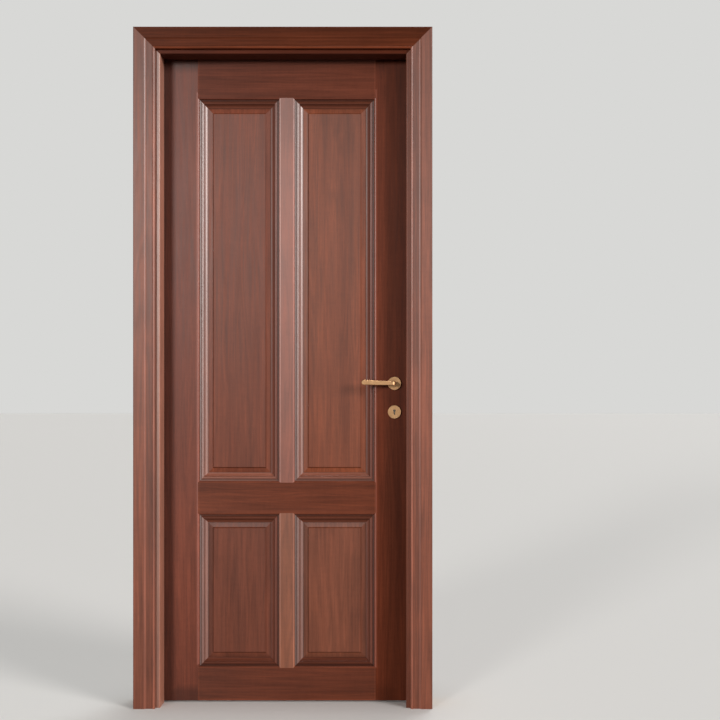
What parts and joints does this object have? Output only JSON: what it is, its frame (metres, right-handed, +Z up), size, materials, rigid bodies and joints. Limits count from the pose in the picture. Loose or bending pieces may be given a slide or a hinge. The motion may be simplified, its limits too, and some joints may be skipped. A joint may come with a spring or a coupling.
{
  "type": "veneered interior door with frame",
  "caption": "Hinged panelled interior door leaf in reddish brown veneer, with rebated lining, moulded casings on both sides, mortise lock and brass lever handles.",
  "frame": {"origin": "floor level, in the middle of the set's width and of its overall depth", "axes": "+Z up, +X to the right seen from the push side, +Y away from that viewer, the way the leaf opens"},
  "size_m": [0.96, 0.175, 2.188],
  "materials": {
    "frame_veneer": "satin lacquered veneer",
    "panel_veneer": "satin lacquered veneer",
    "beech": "bare beech",
    "satin_brass": "satin",
    "polished_brass": "polished",
    "plated_steel": "zinc plated",
    "seal_rubber": "matt"
  },
  "bodies": {
    "frame": {"casing_back_head": "frame_veneer", "casing_back_left": "frame_veneer", "casing_back_right": "frame_veneer", "casing_front_head": "frame_veneer", "casing_front_left": "frame_veneer", "casing_front_right": "frame_veneer", "frame_seal": "seal_rubber", "head_jamb": "frame_veneer", "hinge_frame_half_bottom": "polished_brass", "hinge_frame_half_middle": "polished_brass", "hinge_frame_half_top": "polished_brass", "hinge_pins": "plated_steel", "jamb_hinge_side": "frame_veneer", "jamb_lock_side": "frame_veneer", "strike_plate": "polished_brass"},
    "leaf": {"hinge_leaf_half_bottom": "polished_brass", "hinge_leaf_half_middle": "polished_brass", "hinge_leaf_half_top": "polished_brass", "leaf_tenons": "beech", "lock_case": "plated_steel", "lock_forend": "polished_brass", "moulding_lower_left_back": "frame_veneer", "moulding_lower_left_front": "frame_veneer", "moulding_lower_right_back": "frame_veneer", "moulding_lower_right_front": "frame_veneer", "moulding_upper_left_back": "frame_veneer", "moulding_upper_left_front": "frame_veneer", "moulding_upper_right_back": "frame_veneer", "moulding_upper_right_front": "frame_veneer", "mullion_lower": "frame_veneer", "mullion_upper": "frame_veneer", "panel_lower_left": "panel_veneer", "panel_lower_right": "panel_veneer", "panel_upper_left": "panel_veneer", "panel_upper_right": "panel_veneer", "rail_bottom": "frame_veneer", "rail_lock": "frame_veneer", "rail_top": "frame_veneer", "roses_back": "satin_brass", "roses_front": "satin_brass", "stile_hinge_side": "frame_veneer", "stile_lock_side": "frame_veneer"},
    "handle": {"follower": "plated_steel", "lever_back": "satin_brass", "lever_front": "satin_brass", "spindle": "plated_steel"},
    "latch": {"latch_bolt": "plated_steel"},
    "deadbolt": {"deadbolt": "plated_steel"}
  },
  "joints": [
    {"name": "leaf_swing", "type": "hinge", "parent": "frame", "child": "leaf", "pos_m": [-0.4095, 0.0445, 1.0605], "axis": [0, 0, 1], "range_deg": [0, 170]},
    {"name": "lever_turn", "type": "hinge", "parent": "leaf", "child": "handle", "pos_m": [0.358, 0.0145, 1.0445], "axis": [0, -1, 0], "range_deg": [0, 40], "stiffness_Nm_per_rad": 1.5, "springref_deg": -20.05},
    {"name": "latch_slide", "type": "slide", "parent": "leaf", "child": "latch", "axis": [-1, 0, 0], "range_m": [0, 0.011]},
    {"name": "deadbolt_slide", "type": "slide", "parent": "leaf", "child": "deadbolt", "axis": [1, 0, 0], "range_m": [0, 0.013]}
  ],
  "couplings": [
    {"joint": "latch_slide", "follows": "lever_turn", "m_per_rad": 0.0157}
  ]
}
